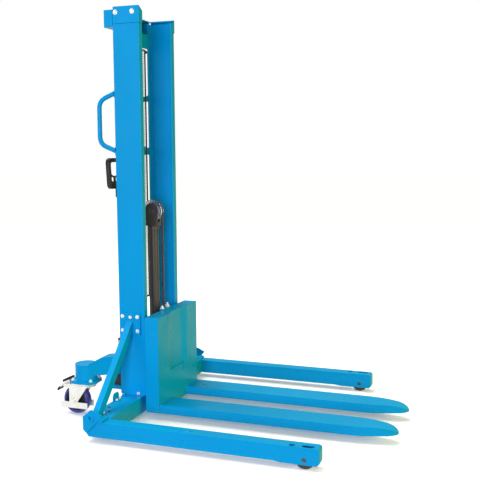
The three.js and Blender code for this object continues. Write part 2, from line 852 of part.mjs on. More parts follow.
add("cylinder_base", cylinderBase(), blackPaint);
add("cylinder_barrel", liftBarrel(), blackPaint);
add("cylinder_gland", cylinderGland(), blackPaint);
add("piston_rod", pistonRod(), steel);
add("crosshead", crosshead(), blackPaint);
add("chain_sheave", sheave(), steel);
add("sheave_pin", sheavePin(), chainSteel);
const chainFront = LIFT.x + SHEAVE.pitchRadius;
const chainRear = LIFT.x - SHEAVE.pitchRadius;
add("chain_front", chainRun(chainFront, CHAIN_LUG.top + GAP, SHEAVE.z - GAP), chainSteel);
add("chain_rear", chainRun(chainRear, 150 + GAP, SHEAVE.z - GAP), chainSteel);
add("chain_wrap", chainWrap(), chainSteel);

add("carriage_frame", carriageFrame(), bluePaint);
addPair("carriage_arm", carriageArm(), bluePaint);
addPair("fork", fork(), bluePaint);
for (const [level, z] of Object.entries(ROLLER_HEIGHTS)) {
  addPair("mast_roller_" + level, mastRoller(z), steel);
}

add("pump_bracket", pumpBracket(), bluePaint);
add("pump_body", pumpBody(), blackPaint);
add("pump_plunger", pumpPlunger(), steel);
add("oil_pipe", oilPipe(), steel);
add("tiller_shaft", tillerShaft(), blackPaint);
add("tiller_grip", tillerGrip(), blackPlastic);
add("release_lever", releaseLever(), blackPlastic);

// Origin under the middle of the bounding box.
model.position.x = -(REAR_END + FORK.tip) / 2;

export default model;
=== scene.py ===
"""Looks of the hand-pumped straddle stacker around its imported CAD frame.

Metres, +X towards the fork tips, +Y to the left, +Z up. Every place on the stacker is worked out
from the boxes of its CAD nodes. The CAD nodes keep their shape and get rounded edges and painted,
plated or moulded materials; chains, guard mesh, bolts, welds and fittings are made here.
"""
import json
import math

import bmesh
import bpy
from mathutils import Matrix, Vector


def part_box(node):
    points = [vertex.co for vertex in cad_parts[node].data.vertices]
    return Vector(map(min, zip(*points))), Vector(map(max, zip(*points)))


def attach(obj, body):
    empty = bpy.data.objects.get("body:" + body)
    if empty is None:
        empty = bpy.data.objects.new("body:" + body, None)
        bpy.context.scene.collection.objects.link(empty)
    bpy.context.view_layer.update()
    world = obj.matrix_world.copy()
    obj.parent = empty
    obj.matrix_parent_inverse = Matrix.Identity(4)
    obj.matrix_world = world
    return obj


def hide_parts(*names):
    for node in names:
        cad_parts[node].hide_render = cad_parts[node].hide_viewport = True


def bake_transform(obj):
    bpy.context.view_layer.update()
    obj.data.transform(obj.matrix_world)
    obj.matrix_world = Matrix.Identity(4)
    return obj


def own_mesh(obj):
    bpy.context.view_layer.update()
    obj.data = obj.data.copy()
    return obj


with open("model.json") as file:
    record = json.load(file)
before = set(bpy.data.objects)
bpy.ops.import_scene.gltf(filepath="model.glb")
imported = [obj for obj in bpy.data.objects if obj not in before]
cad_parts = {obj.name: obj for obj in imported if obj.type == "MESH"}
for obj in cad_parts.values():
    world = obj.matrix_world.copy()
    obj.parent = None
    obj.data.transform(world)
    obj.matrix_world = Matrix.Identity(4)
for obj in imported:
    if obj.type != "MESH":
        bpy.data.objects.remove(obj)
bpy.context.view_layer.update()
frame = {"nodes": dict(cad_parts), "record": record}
NODES = frame["nodes"]
SIDES = {"right": -1, "left": 1}
MM = 0.001


# ------------------------------------------------------------------ camera, light and floor

CAMERA_AZIMUTH = math.radians(19.76)
CAMERA_ELEVATION = math.radians(6.48)
CAMERA_ROLL = math.radians(-0.36)
CAMERA_LENS = 60.17  # mm on a 36 mm sensor
CAMERA_REACH = 200
CAMERA_FROM_MAST = Vector((1.815, -3.816, 1.367))  # from the floor below the mast's front


def add_camera():
    """The camera in front of the right side of the stacker, a little above its middle."""
    right = Vector((math.cos(CAMERA_AZIMUTH), math.sin(CAMERA_AZIMUTH), 0))
    forward = Vector((
        -math.sin(CAMERA_AZIMUTH) * math.cos(CAMERA_ELEVATION),
        math.cos(CAMERA_AZIMUTH) * math.cos(CAMERA_ELEVATION),
        -math.sin(CAMERA_ELEVATION),
    ))
    up = right.cross(forward)
    turn = Matrix((right, up, -forward)).transposed().to_4x4()
    data = bpy.data.cameras.new("camera")
    data.lens = CAMERA_LENS
    data.clip_end = CAMERA_REACH
    camera = bpy.data.objects.new("camera", data)
    mast_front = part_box("mast_upright_right")[1].x
    place = Vector((mast_front, 0, 0)) + CAMERA_FROM_MAST
    camera.matrix_world = Matrix.Translation(place) @ turn @ Matrix.Rotation(CAMERA_ROLL, 4, "Z")
    bpy.context.scene.collection.objects.link(camera)
    bpy.context.scene.camera = camera


def add_area_light(name, place, aim, size, power, color):
    data = bpy.data.lights.new(name, "AREA")
    data.shape = "RECTANGLE"
    data.size, data.size_y = size
    data.energy = power
    data.color = color
    light = bpy.data.objects.new(name, data)
    light.location = place
    light.rotation_euler = (Vector(aim) - Vector(place)).to_track_quat("-Z", "Y").to_euler()
    bpy.context.scene.collection.objects.link(light)


COOL_WHITE = (0.75, 0.78, 1.0)
SOFTBOXES = (  # name, place, what it points at, width and height, watts, colour
    ("key", (-3.0, -5.4, 2.2), (-0.3, -0.2, 0.9), (3.6, 3.0), 76, COOL_WHITE),
    ("fill", (1.1, -5.4, 1.8), (-0.3, 0, 0.9), (2.0, 2.6), 248, COOL_WHITE),
    ("warm_front", (6.5, -0.2, 1.7), (0, 0, 0.8), (3.6, 3.0), 235, (1.0, 0.86, 0.03)),
    ("back", (-5.5, 3.5, 3.0), (0, 0, 1.0), (3.0, 3.0), 150, (0.85, 0.92, 1.0)),
)
SUN_STRENGTH = 2.05
SUN_SPREAD = math.radians(35)
SUN_TURN = (math.radians(-6), math.radians(-16), 0)


def add_lights():
    """Cool softboxes left and right of the camera, a warm one in front, a pale one behind and a sun."""
    for softbox in SOFTBOXES:
        add_area_light(*softbox)
    data = bpy.data.lights.new("overhead", "SUN")
    data.energy = SUN_STRENGTH
    data.angle = SUN_SPREAD
    overhead = bpy.data.objects.new("overhead", data)
    overhead.rotation_euler = SUN_TURN
    bpy.context.scene.collection.objects.link(overhead)


BACKDROP = (1.0, 1.0, 1.0, 1.0)
AMBIENT = (0.30, 0.28, 0.17, 1.0)


def add_world():
    """A white backdrop to the camera, whose light on the stacker is weaker and warmer."""
    world = bpy.data.worlds.new("studio")
    world.use_nodes = True
    tree = world.node_tree
    background = tree.nodes["Background"]
    path = tree.nodes.new("ShaderNodeLightPath")
    mix = tree.nodes.new("ShaderNodeMix")
    mix.data_type = "RGBA"
    mix.inputs[6].default_value = AMBIENT
    mix.inputs[7].default_value = BACKDROP
    tree.links.new(path.outputs["Is Camera Ray"], mix.inputs["Factor"])
    tree.links.new(mix.outputs[2], background.inputs["Color"])
    bpy.context.scene.world = world


# ------------------------------------------------------------------ materials

class Shader:
    """A new node material with its Principled shader and short ways to add nodes."""

    RANGE_SOCKETS = ("From Min", "From Max", "To Min", "To Max")

    def __init__(self, name, color, roughness, metallic=0.0, **sockets):
        self.material = bpy.data.materials.new(name)
        self.material.use_nodes = True
        self.tree = self.material.node_tree
        self.surface = self.tree.nodes["Principled BSDF"]
        self.surface.inputs["Base Color"].default_value = (*color, 1)
        self.surface.inputs["Roughness"].default_value = roughness
        self.surface.inputs["Metallic"].default_value = metallic
        for socket, value in sockets.items():
            self.surface.inputs[socket.replace("_", " ")].default_value = value
        self.place = self.tree.nodes.new("ShaderNodeTexCoord").outputs["Object"]

    def node(self, kind, **values):
        made = self.tree.nodes.new(kind)
        for key, value in values.items():
            if key in made.inputs:
                made.inputs[key].default_value = value
            else:
                setattr(made, key, value)
        return made

    def link(self, output, target):
        self.tree.links.new(output, target)

    def noise(self, scale, detail=3.0, roughness=0.5, stretch=None):
        texture = self.node("ShaderNodeTexNoise", Scale=scale, Detail=detail, Roughness=roughness)
        place = self.place
        if stretch:
            mapping = self.node("ShaderNodeMapping")
            mapping.inputs["Scale"].default_value = stretch
            self.link(place, mapping.inputs["Vector"])
            place = mapping.outputs["Vector"]
        self.link(place, texture.inputs["Vector"])
        return texture.outputs["Fac"]

    def remap(self, value, low, high, to_low, to_high):
        """value from low..high to to_low..to_high, clamped."""
        node = self.node("ShaderNodeMapRange")
        for socket, number in zip(self.RANGE_SOCKETS, (low, high, to_low, to_high)):
            node.inputs[socket].default_value = number
        self.link(value, node.inputs["Value"])
        return node.outputs["Result"]

    def blend_colors(self, factor, first, second):
        """A colour between first and second, each a colour or another node's output."""
        node = self.node("ShaderNodeMix", data_type="RGBA")
        self.link(factor, node.inputs["Factor"])
        for socket, color in ((node.inputs[6], first), (node.inputs[7], second)):
            if isinstance(color, tuple):
                socket.default_value = (*color, 1)
            else:
                self.link(color, socket)
        return node.outputs[2]

    def height(self):
        """The height above the floor of the shaded point, at rest."""
        node = self.node("ShaderNodeSeparateXYZ")
        self.link(self.place, node.inputs["Vector"])
        return node.outputs["Z"]

    def set_color(self, output):
        self.link(output, self.surface.inputs["Base Color"])

    def set_roughness(self, output):
        self.link(output, self.surface.inputs["Roughness"])

    def bump(self, *layers):
        """Bumps from (height output, strength, distance in metres) layers, one on the other."""
        normal = None
        for value, strength, distance in layers:
            node = self.node("ShaderNodeBump", Strength=strength, Distance=distance)
            self.link(value, node.inputs["Height"])
            if normal:
                self.link(normal, node.inputs["Normal"])
            normal = node.outputs["Normal"]
        self.link(normal, self.surface.inputs["Normal"])


DUST = (0.30, 0.29, 0.26)
DUST_TOP = 0.16  # height above the floor at which the dust ends


def enamel(name, color, gloss, dusting):
    """Sprayed enamel: slight orange peel, uneven gloss and a film of dust low down."""
    shader = Shader(name, color, 0.34, Specular_IOR_Level=gloss)
    deeper = tuple(channel * 0.93 for channel in color)
    patches = shader.remap(shader.noise(2.4, 2), 0.35, 0.65, 0, 1)
    tone = shader.blend_colors(patches, color, deeper)
    low = shader.remap(shader.height(), 0.0, DUST_TOP, dusting, 0.0)
    specks = shader.remap(shader.noise(70, 4, 0.65), 0.46, 0.68, 0, 1)
    film = shader.node("ShaderNodeMath", operation="MULTIPLY")
    shader.link(low, film.inputs[0])
    shader.link(specks, film.inputs[1])
    shader.set_color(shader.blend_colors(film.outputs[0], tone, DUST))
    shader.set_roughness(shader.remap(shader.noise(9, 3), 0.3, 0.7, 0.26, 0.42))
    shader.bump((shader.noise(420, 2), 0.03, 0.0002))
    return shader.material


def moulded_black():
    """Moulded black plastic with a fine grain."""
    color = (0.013, 0.016, 0.015)
    shader = Shader("moulded_black", color, 0.55, Specular_IOR_Level=0.25)
    worn = shader.remap(shader.noise(26, 3), 0.5, 0.75, 0, 0.5)
    shader.set_color(shader.blend_colors(worn, color, (0.030, 0.033, 0.032)))
    shader.set_roughness(shader.remap(shader.noise(14, 2), 0.3, 0.7, 0.42, 0.62))
    shader.bump((shader.noise(900, 2), 0.35, 0.0002))
    return shader.material


def zinc_plate():
    """Zinc plate with a faint yellow passivation and cloudy gloss."""
    shader = Shader("zinc_plate", (0.78, 0.76, 0.68), 0.34, metallic=0.35)
    cloud = shader.remap(shader.noise(22, 3), 0.35, 0.7, 0, 1)
    shader.set_color(shader.blend_colors(cloud, (0.84, 0.83, 0.77), (0.78, 0.75, 0.65)))
    shader.set_roughness(shader.remap(shader.noise(60, 3), 0.3, 0.7, 0.24, 0.42))
    shader.bump((shader.noise(650, 2), 0.12, 0.0002))
    return shader.material


def ground_steel(name, color, roughness):
    """Turned or ground steel with fine machining marks round the Y axis."""
    shader = Shader(name, color, roughness, metallic=1.0)
    lines = shader.noise(500, 2, stretch=(0.08, 1.0, 0.08))
    dull = shader.remap(shader.noise(18, 3), 0.4, 0.7, 0, 1)
    shader.set_color(shader.blend_colors(dull, color, tuple(0.72 * channel for channel in color)))
    shader.set_roughness(shader.remap(lines, 0.3, 0.7, roughness * 0.7, roughness * 1.4))
    shader.bump((lines, 0.10, 0.0002))
    return shader.material


def chrome_rod():
    """Hard chrome with faint streaks along Z."""
    shader = Shader("chrome_rod", (0.72, 0.72, 0.73), 0.08, metallic=1.0)
    streaks = shader.noise(60, 2, stretch=(1.0, 1.0, 0.05))
    shader.set_roughness(shader.remap(streaks, 0.4, 0.7, 0.06, 0.14))
    return shader.material


def oiled_steel(name, color, painted_sheen_color):
    """Dark steel under a film of oil, with random lighter patches of painted sheen in its colour."""
    shader = Shader(name, color, 0.4, metallic=0.4)
    # painted sheen: random patches of the base colour lightened towards the sheen colour, standing for
    # the oil film's reflection
    painted_sheen_patches = shader.remap(shader.noise(120, 3), 0.42, 0.62, 0, 1)
    shader.set_color(shader.blend_colors(painted_sheen_patches, color, painted_sheen_color))
    shader.set_roughness(shader.remap(shader.noise(90, 3), 0.3, 0.7, 0.28, 0.5))
    shader.bump((shader.noise(400, 2), 0.15, 0.0002))
    return shader.material


def polyurethane():
    """Cast blue-violet polyurethane with fine scuffs."""
    color = (0.035, 0.032, 0.26)
    shader = Shader("polyurethane", color, 0.38, Coat_Weight=0.15)
    scuff = shader.remap(shader.noise(130, 4, 0.7), 0.5, 0.72, 0, 0.55)
    shader.set_color(shader.blend_colors(scuff, color, (0.10, 0.10, 0.22)))
    shader.set_roughness(shader.remap(shader.noise(60, 3), 0.3, 0.7, 0.28, 0.5))
    shader.bump((shader.noise(240, 3), 0.15, 0.0003))
    return shader.material


def nylon_roller():
    """Black cast nylon with scuffs in brown-grey."""
    color = (0.016, 0.014, 0.013)
    shader = Shader("nylon_roller", color, 0.45)
    scuff = shader.remap(shader.noise(90, 4, 0.7), 0.48, 0.72, 0, 0.7)
    shader.set_color(shader.blend_colors(scuff, color, (0.07, 0.055, 0.045)))
    shader.set_roughness(shader.remap(shader.noise(60, 3), 0.3, 0.7, 0.35, 0.6))
    shader.bump((shader.noise(200, 3), 0.2, 0.0003))
    return shader.material


def studio_floor():
    """Matt white floor that glows a little, so that it joins the white backdrop."""
    shader = Shader("studio_floor", (0.98, 0.98, 0.98), 0.85, Specular_IOR_Level=0.05)
    shader.surface.inputs["Emission Color"].default_value = (0.74, 0.85, 1.0, 1.0)
    shader.surface.inputs["Emission Strength"].default_value = 0.22
    shader.bump((shader.noise(30, 2), 0.02, 0.001))
    return shader.material


MATERIALS = {
    "blue_paint": enamel("sky_blue_enamel", (0.0, 0.328, 0.68), gloss=0.09, dusting=0.04),
    "black_paint": enamel("black_enamel", (0.052, 0.045, 0.040), gloss=0.3, dusting=0.2),
    "black_plastic": moulded_black(),
    "zinc": zinc_plate(),
    "bare_steel": ground_steel("ground_steel", (0.62, 0.62, 0.61), 0.28),
    "chrome_rod": chrome_rod(),
    "chain_steel": oiled_steel("chain_steel", (0.050, 0.044, 0.040), (0.095, 0.088, 0.082)),
    "blue_tyre": polyurethane(),
    "black_tyre": nylon_roller(),
}


# ------------------------------------------------------------------ meshes

SMOOTH_BELOW = math.radians(35)
ROUND_ABOVE = math.radians(38)
IN_YZ = Matrix(((0, 0, 1), (1, 0, 0), (0, 1, 0))).to_4x4()  # outlines in Y and Z, thick towards +X
IN_XZ = Matrix(((1, 0, 0), (0, 0, -1), (0, 1, 0))).to_4x4()  # outlines in X and Z, thick towards -Y
UP = (0, 0, 1)


def in_mm(points):
    """Points written as (u, v) in millimetres, in metres."""
    return [(u * MM, v * MM) for u, v in points]


def middle_of(node):
    """The middle of a CAD node's box."""
    low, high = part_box(node)
    return (low + high) / 2


def outer_y(node, sign):
    """The Y of the side of a node that faces away from the stacker's middle plane."""
    low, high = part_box(node)
    return sign * max(abs(low.y), abs(high.y))


def inner_y(node, sign):
    """The Y of the side of a node that faces the stacker's middle plane."""
    low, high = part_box(node)
    return sign * min(abs(low.y), abs(high.y))


def finished_piece(name, mesh, slot, body):
    """An object of the mesh in the slot's material, riding on the body unless that is None."""
    bmesh.ops.recalc_face_normals(mesh, faces=mesh.faces)
    for edge in mesh.edges:
        edge.smooth = len(edge.link_faces) == 2 and edge.calc_face_angle(0) < SMOOTH_BELOW
    for face in mesh.faces:
        face.smooth = True
    data = bpy.data.meshes.new(name)
    mesh.to_mesh(data)
    mesh.free()
    piece = bpy.data.objects.new(name, data)
    bpy.context.scene.collection.objects.link(piece)
    piece.data.materials.append(MATERIALS[slot])
    if body:
        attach(piece, body)
    return piece


def round_edges(piece, width, sharp_angle=ROUND_ABOVE):
    """Rounds the edges of a piece that turn by more than the angle."""
    bevel = piece.modifiers.new("rounded_edges", "BEVEL")
    bevel.width = width
    bevel.segments = 3
    bevel.limit_method = "ANGLE"
    bevel.angle_limit = sharp_angle
    return bevel


def ring_points(radius, sides):
    """The corners of a regular polygon round the origin."""
    step = 2 * math.pi / sides
    return [(radius * math.cos(i * step), radius * math.sin(i * step)) for i in range(sides)]


def skin_rings(mesh, rings):
    """Closes rings with as many vertices each into one body with flat ends."""
    count = len(rings[0])
    for low, high in zip(rings, rings[1:]):
        for i in range(count):
            j = (i + 1) % count
            mesh.faces.new((low[i], low[j], high[j], high[i]))
    mesh.faces.new(list(reversed(rings[0])))
    mesh.faces.new(rings[-1])


def add_lathe(mesh, sections, place, direction, sides):
    """A closed turned body of (radius, height) sections along direction from place."""
    aim = Vector(direction).normalized().to_track_quat("Z", "Y").to_matrix().to_4x4()
    turn = Matrix.Translation(place) @ aim
    rings = []
    for radius, height in sections:
        ring = [turn @ Vector((x, y, height)) for x, y in ring_points(radius, sides)]
        rings.append([mesh.verts.new(point) for point in ring])
    skin_rings(mesh, rings)


def add_hex_bolt(mesh, place, direction, size):
    """A washer, a chamfered hexagon head and a disc on it; size is the head's width over corners."""
    way = Vector(direction).normalized()
    washer = size * 0.62
    washer_top = size * 0.11
    corner = size / 2
    head_top = size * 0.36
    rim = [(washer * 0.97, 0), (washer, size * 0.02), (washer, size * 0.09), (washer * 0.96, washer_top)]
    hexagon = [(corner, 0), (corner, size * 0.28), (corner * 0.84, head_top)]
    disc = [(corner * 0.78, -size * 0.01), (corner * 0.74, size * 0.02)]
    head = Vector(place) + way * washer_top
    add_lathe(mesh, rim, place, direction, sides=20)
    add_lathe(mesh, hexagon, head, direction, sides=6)
    add_lathe(mesh, disc, head + way * head_top, direction, sides=18)


def add_prism(mesh, outline, offset, thickness, turn):
    """A plate of a closed (u, v) outline in the turn's XY plane, from offset, thickness thick."""
    rings = []
    for height in (offset, offset + thickness):
        rings.append([mesh.verts.new(turn @ Vector((u, v, height))) for u, v in outline])
    skin_rings(mesh, rings)


def add_tube(mesh, points, radius, sides):
    """A closed tube through points; radius is a number or a list with one radius a point."""
    points = [Vector(p) for p in points]
    radii = radius if isinstance(radius, list) else [radius] * len(points)
    rings = []
    side = None
    for i, point in enumerate(points):
        along = (points[min(i + 1, len(points) - 1)] - points[max(i - 1, 0)]).normalized()
        if side is None:
            side = along.orthogonal().normalized()
        side = (side - along * side.dot(along)).normalized()
        up = along.cross(side)
        ring = [point + side * x + up * y for x, y in ring_points(radii[i], sides)]
        rings.append([mesh.verts.new(corner) for corner in ring])
    skin_rings(mesh, rings)


WELD_RADIUS = 3.2 * MM
WELD_PASS = 4.5 * MM


def add_weld(mesh, start, end, radius=WELD_RADIUS):
    """A weld bead between two points: a low tube with the ripple of its passes."""
    start, end = Vector(start), Vector(end)
    passes = max(6, int((end - start).length / WELD_PASS))
    points = [start.lerp(end, i / passes) for i in range(passes + 1)]
    radii = []
    for i in range(passes + 1):
        radii.append(radius * (0.86 + 0.14 * math.sin(i * 2.1) + 0.06 * math.sin(i * 0.7)))
    radii[0] = radii[-1] = radius * 0.5
    add_tube(mesh, points, radii, sides=7)


# ------------------------------------------------------------------ carried-over CAD nodes

FINE_EDGE = 0.6 * MM
PLAIN_EDGE = 1.4 * MM
WIDE_EDGE = 3.0 * MM
SOFT_EDGE = 4.0 * MM
EDGE_WIDTHS = {
    "fork_right": SOFT_EDGE,
    "fork_left": SOFT_EDGE,
    "straddle_leg_right": SOFT_EDGE,
    "straddle_leg_left": SOFT_EDGE,
    "strut_right": SOFT_EDGE,
    "strut_left": SOFT_EDGE,
    "mast_upright_right": WIDE_EDGE,
    "mast_upright_left": WIDE_EDGE,
    "carriage_frame": WIDE_EDGE,
    "push_handle_right": WIDE_EDGE,
    "chain_front": FINE_EDGE,
    "chain_rear": FINE_EDGE,
    "chain_wrap": FINE_EDGE,
    "guard_screen": FINE_EDGE,
    "release_lever": FINE_EDGE,
    "oil_pipe": FINE_EDGE,
}
ROUND_ABOVE_ON_CARRIAGE = math.radians(10)  # its front's slopes turn by little
WELD_DISTANCE = 0.02 * MM


def dress_cad_nodes():
    """Rounds the edges of each CAD node and gives it its slot's material."""
    slots = {row["node"]: row["material_slot"] for row in frame["record"]["subparts"]}
    for name, node in NODES.items():
        data = node.data
        if "custom_normal" in data.attributes:
            data.attributes.remove(data.attributes["custom_normal"])
        data.materials.clear()
        data.materials.append(MATERIALS[slots[name]])
        data.polygons.foreach_set("use_smooth", [True] * len(data.polygons))
        weld = node.modifiers.new("weld", "WELD")
        weld.merge_threshold = WELD_DISTANCE
        sharp_angle = ROUND_ABOVE_ON_CARRIAGE if name == "carriage_frame" else ROUND_ABOVE
        bevel = round_edges(node, EDGE_WIDTHS.get(name, PLAIN_EDGE), sharp_angle)
        bevel.harden_normals = True
        bevel.miter_outer = "MITER_ARC"


# ------------------------------------------------------------------ chain

CHAIN_PITCH = 12.7 * MM
LINK_RADIUS = 6 * MM  # half the height of a link plate
LINK_LAYERS = 6.2  # thicknesses of a link plate in the chain's width
PIN_RADIUS = 2.4 * MM
PIN_CHAMFER_RADIUS = 2.1 * MM
PIN_CHAMFER = 0.5 * MM


def arc(centre_x, radius, start, end, count):
    """Points of an arc round a point on the first axis, from one angle to another in degrees."""
    points = []
    for i in range(count + 1):
        angle = math.radians(start + (end - start) * i / count)
        points.append((centre_x + radius * math.cos(angle), radius * math.sin(angle)))
    return points


def link_outline():
    """A waisted link plate from pin to pin, in (along, across)."""
    front = arc(CHAIN_PITCH / 2, LINK_RADIUS, -70, 70, 5)
    back = arc(-CHAIN_PITCH / 2, LINK_RADIUS, 110, 250, 5)
    waist = LINK_RADIUS * 0.74
    return front + [(0, waist)] + back + [(0, -waist)]


def add_chain(mesh, pins, width):
    """Leaf chain through pin centres one pitch apart, with its pins along Y."""
    thick = width / LINK_LAYERS
    outline = link_outline()
    for index, (here, after) in enumerate(zip(pins, pins[1:])):
        along = (after - here).normalized()
        across = along.cross(Vector((0, 1, 0)))
        turn = Matrix((along, across, along.cross(across))).transposed().to_4x4()
        turn = Matrix.Translation((here + after) / 2) @ turn
        layers = (-2, 0, 2) if index % 2 else (-1, 1)
        for layer in layers:
            add_prism(mesh, outline, (layer - 0.5) * thick, thick * 0.96, turn)
    pin = [
        (PIN_CHAMFER_RADIUS, 0),
        (PIN_RADIUS, PIN_CHAMFER),
        (PIN_RADIUS, width - PIN_CHAMFER),
        (PIN_CHAMFER_RADIUS, width),
    ]
    for here in pins:
        add_lathe(mesh, pin, here - Vector((0, width / 2, 0)), (0, 1, 0), sides=8)


def straight_pins(x, low, high):
    """Pin centres one pitch apart, down from the height high."""
    count = int((high - low) / CHAIN_PITCH)
    first = high - count * CHAIN_PITCH
    return [Vector((x, 0, first + i * CHAIN_PITCH)) for i in range(count + 1)]


def chain_piece(name, node, body, pins):
    """Chain as wide as the CAD node that it stands for."""
    low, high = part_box(node)
    mesh = bmesh.new()
    add_chain(mesh, pins, high.y - low.y)
    piece = finished_piece(name, mesh, "chain_steel", body)
    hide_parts(node)
    return piece


def lift_chain():
    """Leaf chain: the front run and the wrap over the sheave ride on the lift rod, the rear run on no
    body.
    """
    low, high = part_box("chain_front")
    front_x = (low.x + high.x) / 2
    pins = straight_pins(front_x, low.z, high.z)
    front = chain_piece("lift_chain_front", "chain_front", "lift_rod", pins)
    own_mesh(front)

    low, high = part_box("chain_rear")
    rear_x = (low.x + high.x) / 2
    pins = straight_pins(rear_x, low.z, high.z)
    rear = chain_piece("lift_chain_rear", "chain_rear", None, pins)
    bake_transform(rear)

    low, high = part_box("chain_wrap")
    centre = Vector(((low.x + high.x) / 2, 0, low.z))
    pitch_radius = (high.x - low.x) / 2 - LINK_RADIUS
    count = round(math.pi * pitch_radius / CHAIN_PITCH)
    pins = []
    for i in range(count + 1):
        angle = math.pi * i / count
        pins.append(centre + Vector((math.cos(angle), 0, math.sin(angle))) * pitch_radius)
    chain_piece("lift_chain_wrap", "chain_wrap", "lift_rod", pins)


# ------------------------------------------------------------------ guard screen

MESH_PITCH = 12.5 * MM
WIRE_RADIUS = 0.9 * MM
WIRE_INSET = 1 * MM
BORDER_WIDTH = 9 * MM
CLIP = in_mm([(7, 0), (8, 1), (8, 6), (5, 9)])
CLIP_INSET_Y = 4 * MM
CLIP_INSET_Z = 14 * MM


def guard_mesh():
    """Crossed wires in a flat bar border, with black clips at its corners."""
    low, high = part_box("guard_screen")
    middle = (low.x + high.x) / 2
    wires = bmesh.new()
    columns = round((high.y - low.y) / MESH_PITCH)
    rows = round((high.z - low.z) / MESH_PITCH)
    x = middle - WIRE_RADIUS
    for i in range(1, columns):
        y = low.y + (high.y - low.y) * i / columns
        add_tube(wires, [(x, y, low.z + WIRE_INSET), (x, y, high.z - WIRE_INSET)], WIRE_RADIUS, sides=5)
    x = middle + WIRE_RADIUS
    for i in range(1, rows):
        z = low.z + (high.z - low.z) * i / rows
        add_tube(wires, [(x, low.y + WIRE_INSET, z), (x, high.y - WIRE_INSET, z)], WIRE_RADIUS, sides=5)
    piece = finished_piece("guard_mesh", wires, "black_paint", "chassis")
    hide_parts("guard_screen")

    border = bmesh.new()
    turn = Matrix.Translation((low.x, 0, 0)) @ IN_YZ
    for y0, y1, z0, z1 in (
        (low.y, low.y + BORDER_WIDTH, low.z, high.z),
        (high.y - BORDER_WIDTH, high.y, low.z, high.z),
        (low.y + BORDER_WIDTH, high.y - BORDER_WIDTH, low.z, low.z + BORDER_WIDTH),
        (low.y + BORDER_WIDTH, high.y - BORDER_WIDTH, high.z - BORDER_WIDTH, high.z),
    ):
        add_prism(border, [(y0, z0), (y1, z0), (y1, z1), (y0, z1)], 0, high.x - low.x, turn)
    finished_piece("guard_border", border, "black_paint", "chassis")

    clips = bmesh.new()
    for y in (low.y + CLIP_INSET_Y, high.y - CLIP_INSET_Y):
        for z in (low.z + CLIP_INSET_Z, high.z - CLIP_INSET_Z):
            add_lathe(clips, CLIP, (high.x, y, z), (1, 0, 0), sides=12)
    finished_piece("guard_clips", clips, "black_plastic", "chassis")


# ------------------------------------------------------------------ bolts and welds

# Sizes of bolts and nuts are widths over their corners.
CAP_BOLT = 20 * MM
CAP_BOLT_FROM_REAR = 14 * MM
CAP_BOLT_FROM_FRONT = 38 * MM
CAP_BOLT_FROM_TOP = 28 * MM
RIVET = in_mm([(5, 0), (5, 1.5), (3, 3)])
RIVET_FROM_BOTTOM = 9 * MM


def cap_bolts(side, out, zinc, painted):
    """Two bolts and two painted rivets on the outside of a head cap."""
    low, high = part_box("mast_cap_" + side)
    outer = outer_y("mast_cap_" + side, out.y)
    for x in (low.x + CAP_BOLT_FROM_REAR, high.x - CAP_BOLT_FROM_FRONT):
        add_hex_bolt(zinc, (x, outer, high.z - CAP_BOLT_FROM_TOP), out, CAP_BOLT)
        add_lathe(painted, RIVET, (x, outer, low.z + RIVET_FROM_BOTTOM), out, sides=14)


PLATE_BOLT = 16 * MM
PLATE_BOLT_FROM_REAR = 12 * MM
PLATE_BOLT_FROM_FRONT = 16 * MM
PLATE_BOLT_FROM_BOTTOM = 21 * MM
PLATE_BOLT_FROM_TOP = 20 * MM
PLATE_PLUG = in_mm([(9, 0), (9, 1.6), (7, 3)])
PLATE_PLUG_FROM_TOP = 23 * MM


def strut_plate_bolts(side, out, zinc):
    """Four bolts and a plug on the plate at the head of a strut."""
    low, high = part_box("strut_plate_" + side)
    outer = outer_y("strut_plate_" + side, out.y)
    for x in (low.x + PLATE_BOLT_FROM_REAR, high.x - PLATE_BOLT_FROM_FRONT):
        for z in (low.z + PLATE_BOLT_FROM_BOTTOM, high.z - PLATE_BOLT_FROM_TOP):
            add_hex_bolt(zinc, (x, outer, z), out, PLATE_BOLT)
    plug = ((low.x + high.x) / 2, outer, high.z - PLATE_PLUG_FROM_TOP)
    add_lathe(zinc, PLATE_PLUG, plug, out, sides=16)


FOOT_BOLT = 14 * MM
FOOT_BOLT_FROM_FRONT = 43 * MM
FOOT_BOLT_HEIGHT = 8 * MM
BEAM_BOLT = 20 * MM
BEAM_BOLT_FROM_FRONT = 79 * MM
BEAM_BOLT_FROM_LEG = 46 * MM
BASE_PLUG = in_mm([(7, 0), (7, 0.8), (4, 1.6)])
BASE_PLUG_PLACES = in_mm([(58, 71), (90, 130)])  # behind the mast's front, and from the leg


def base_bolts(side, out, zinc, dark):
    """A bolt at the mast's foot, and a bolt and two plugs on top of the crossbeam."""
    low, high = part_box("mast_upright_" + side)
    outer = outer_y("mast_upright_" + side, out.y)
    leg = inner_y("straddle_leg_" + side, out.y)
    add_hex_bolt(zinc, (high.x - FOOT_BOLT_FROM_FRONT, outer, low.z + FOOT_BOLT_HEIGHT), out, FOOT_BOLT)
    beam_bolt = (high.x - BEAM_BOLT_FROM_FRONT, leg - out.y * BEAM_BOLT_FROM_LEG, low.z)
    add_hex_bolt(zinc, beam_bolt, UP, BEAM_BOLT)
    for from_mast, from_leg in BASE_PLUG_PLACES:
        add_lathe(dark, BASE_PLUG, (high.x - from_mast, leg - out.y * from_leg, low.z), UP, sides=16)


def plate_bolts():
    """Bolts, rivets and plugs of the head caps, strut plates and crossbeam, on both sides."""
    for side, sign in SIDES.items():
        out = Vector((0, sign, 0))
        zinc = bmesh.new()
        painted = bmesh.new()
        dark = bmesh.new()
        cap_bolts(side, out, zinc, painted)
        strut_plate_bolts(side, out, zinc)
        base_bolts(side, out, zinc, dark)
        finished_piece("base_plugs_" + side, dark, "black_plastic", "chassis")
        finished_piece("plate_bolts_" + side, zinc, "zinc", "chassis")
        finished_piece("cap_rivets_" + side, painted, "blue_paint", "chassis")


